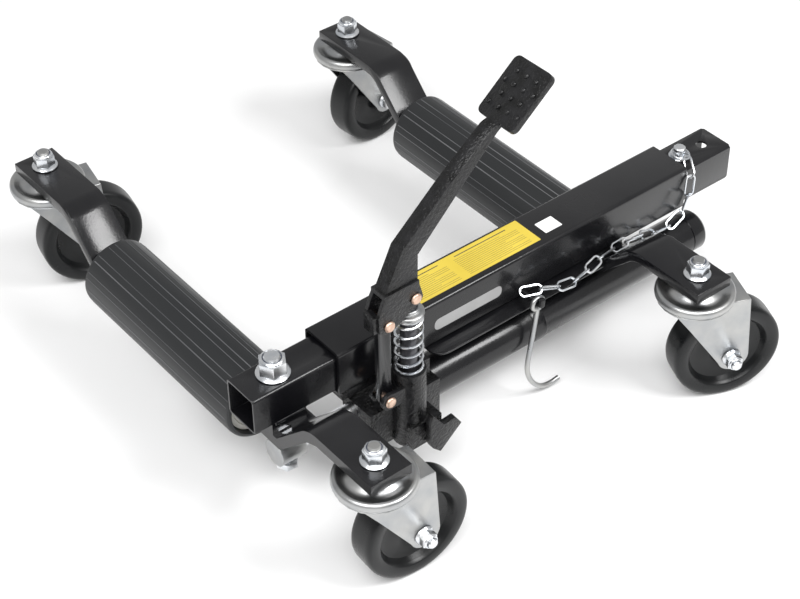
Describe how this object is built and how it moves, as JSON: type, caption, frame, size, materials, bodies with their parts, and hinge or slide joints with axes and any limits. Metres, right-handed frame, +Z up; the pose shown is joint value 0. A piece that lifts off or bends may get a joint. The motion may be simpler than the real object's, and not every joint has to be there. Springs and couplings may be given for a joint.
{
  "type": "hydraulic wheel dolly",
  "caption": "Foot-pumped vehicle positioning dolly: telescopic beam, L-shaped roller arms on swivel castors, locking pin on a chain and hanging storage hook.",
  "frame": {"origin": "on the floor under the middle of the whole dolly", "axes": "+Z up, +X along the telescopic beam from its open end on the left arm towards the locking pin, +Y from the beam towards the free ends of the rollers"},
  "size_m": [0.595, 0.6256, 0.4019],
  "materials": {
    "gloss_black_paint": "gloss",
    "black_casting": "satin, rough cast",
    "bright_zinc": "bright zinc plated",
    "dark_steel": "oiled steel",
    "copper_rivet": "coppered steel, satin",
    "roller_sleeve": "satin",
    "wheel_plastic": "semi-gloss",
    "bush_plastic": "matte"
  },
  "bodies": {
    "frame": {"outer_tube": "gloss_black_paint", "right_near_arm": "gloss_black_paint", "right_far_arm": "gloss_black_paint", "right_roller_shaft": "bright_zinc", "right_near_castor_raceway": "bright_zinc", "right_near_castor_stem_nut": "bright_zinc", "right_far_castor_raceway": "bright_zinc", "right_far_castor_stem_nut": "bright_zinc", "pump_body": "black_casting", "oil_barrel": "gloss_black_paint", "barrel_end_cap": "gloss_black_paint", "link_rivet": "copper_rivet", "hook_bracket": "gloss_black_paint", "side_rail": "gloss_black_paint", "pin_chain": "bright_zinc"},
    "sliding_side": {"inner_tube": "gloss_black_paint", "left_near_arm": "gloss_black_paint", "left_far_arm": "gloss_black_paint", "left_roller_shaft": "bright_zinc", "tube_bolt": "bright_zinc", "tube_nut": "bright_zinc", "ram_rod": "bright_zinc", "rod_boss": "bright_zinc", "rod_boss_bolt": "bright_zinc", "left_near_castor_raceway": "bright_zinc", "left_near_castor_stem_nut": "bright_zinc", "left_far_castor_raceway": "bright_zinc", "left_far_castor_stem_nut": "bright_zinc"},
    "left_roller_body": {"left_roller": "roller_sleeve", "left_roller_near_bush": "bush_plastic", "left_roller_far_bush": "bush_plastic"},
    "right_roller_body": {"right_roller": "roller_sleeve", "right_roller_near_bush": "bush_plastic", "right_roller_far_bush": "bush_plastic"},
    "left_near_swivel": {"left_near_castor_fork": "bright_zinc", "left_near_castor_axle": "bright_zinc", "left_near_castor_axle_nut": "bright_zinc"},
    "left_near_wheel": {"left_near_castor_wheel": "wheel_plastic"},
    "right_near_swivel": {"right_near_castor_fork": "bright_zinc", "right_near_castor_axle": "bright_zinc", "right_near_castor_axle_nut": "bright_zinc"},
    "right_near_wheel": {"right_near_castor_wheel": "wheel_plastic"},
    "left_far_swivel": {"left_far_castor_fork": "bright_zinc", "left_far_castor_axle": "bright_zinc", "left_far_castor_axle_nut": "bright_zinc"},
    "left_far_wheel": {"left_far_castor_wheel": "wheel_plastic"},
    "right_far_swivel": {"right_far_castor_fork": "bright_zinc", "right_far_castor_axle": "bright_zinc", "right_far_castor_axle_nut": "bright_zinc"},
    "right_far_wheel": {"right_far_castor_wheel": "wheel_plastic"},
    "link": {"pedal_link": "gloss_black_paint"},
    "pedal_lever": {"pedal": "black_casting", "fulcrum_rivet": "copper_rivet", "piston_rivet": "copper_rivet"},
    "piston": {"pump_piston": "dark_steel", "spring_cap": "bright_zinc", "pump_spring": "bright_zinc"},
    "release": {"release_lever": "black_casting"},
    "pin": {"lock_pin": "bright_zinc"},
    "hanging_hook": {"storage_hook": "bright_zinc"}
  },
  "joints": [
    {"name": "arm_slide", "type": "slide", "parent": "frame", "child": "sliding_side", "axis": [1, 0, 0], "range_m": [0, 0.032]},
    {"name": "left_roller_spin", "type": "hinge", "parent": "sliding_side", "child": "left_roller_body", "pos_m": [-0.2595, 0.02398, 0.098], "axis": [0, 1, 0], "continuous": true},
    {"name": "right_roller_spin", "type": "hinge", "parent": "frame", "child": "right_roller_body", "pos_m": [0.1265, 0.02398, 0.098], "axis": [0, 1, 0], "continuous": true},
    {"name": "left_near_castor_swivel", "type": "hinge", "parent": "sliding_side", "child": "left_near_swivel", "pos_m": [-0.256, -0.26402, 0.124], "axis": [0, 0, 1], "continuous": true},
    {"name": "left_near_wheel_spin", "type": "hinge", "parent": "left_near_swivel", "child": "left_near_wheel", "pos_m": [-0.22005, -0.26591, 0.055], "axis": [0.0523, 0.9986, 0], "continuous": true},
    {"name": "right_near_castor_swivel", "type": "hinge", "parent": "frame", "child": "right_near_swivel", "pos_m": [0.13, -0.26402, 0.124], "axis": [0, 0, 1], "continuous": true},
    {"name": "right_near_wheel_spin", "type": "hinge", "parent": "right_near_swivel", "child": "right_near_wheel", "pos_m": [0.16338, -0.27751, 0.055], "axis": [0.3746, 0.9272, 0], "continuous": true},
    {"name": "left_far_castor_swivel", "type": "hinge", "parent": "sliding_side", "child": "left_far_swivel", "pos_m": [-0.256, 0.27398, 0.124], "axis": [0, 0, 1], "continuous": true},
    {"name": "left_far_wheel_spin", "type": "hinge", "parent": "left_far_swivel", "child": "left_far_wheel", "pos_m": [-0.22066, 0.26711, 0.055], "axis": [0.1908, 0.9816, 0], "continuous": true},
    {"name": "right_far_castor_swivel", "type": "hinge", "parent": "frame", "child": "right_far_swivel", "pos_m": [0.13, 0.27398, 0.124], "axis": [0, 0, 1], "continuous": true},
    {"name": "right_far_wheel_spin", "type": "hinge", "parent": "right_far_swivel", "child": "right_far_wheel", "pos_m": [0.1658, 0.27774, 0.055], "axis": [-0.1045, 0.9945, 0], "continuous": true},
    {"name": "link_swing", "type": "hinge", "parent": "frame", "child": "link", "pos_m": [-0.177, -0.17602, 0.114], "axis": [0, 1, 0], "range_deg": [-3, 0]},
    {"name": "pedal_press", "type": "hinge", "parent": "link", "child": "pedal_lever", "pos_m": [-0.177, -0.17602, 0.205], "axis": [0, 1, 0], "range_deg": [0, 30]},
    {"name": "piston_stroke", "type": "slide", "parent": "frame", "child": "piston", "axis": [0, 0, 1], "range_m": [-0.0162, 0], "stiffness_N_per_m": 3000, "springref_m": 0.012, "deforming": ["pump_spring"]},
    {"name": "release_turn", "type": "hinge", "parent": "frame", "child": "release", "pos_m": [-0.1375, -0.19102, 0.06], "axis": [0, 1, 0], "range_deg": [0, 40]},
    {"name": "lock_pin_lift", "type": "slide", "parent": "sliding_side", "child": "pin", "axis": [0, 0, 1], "range_m": [0, 0.052]},
    {"name": "hook_swing", "type": "hinge", "parent": "frame", "child": "hanging_hook", "pos_m": [0.0095, -0.17602, 0.123], "axis": [0, 1, 0], "range_deg": [-25, 25]}
  ],
  "couplings": [
    {"joint": "link_swing", "follows": "pedal_press", "ratio": -0.0904},
    {"joint": "piston_stroke", "follows": "pedal_press", "m_per_rad": -0.0299}
  ]
}
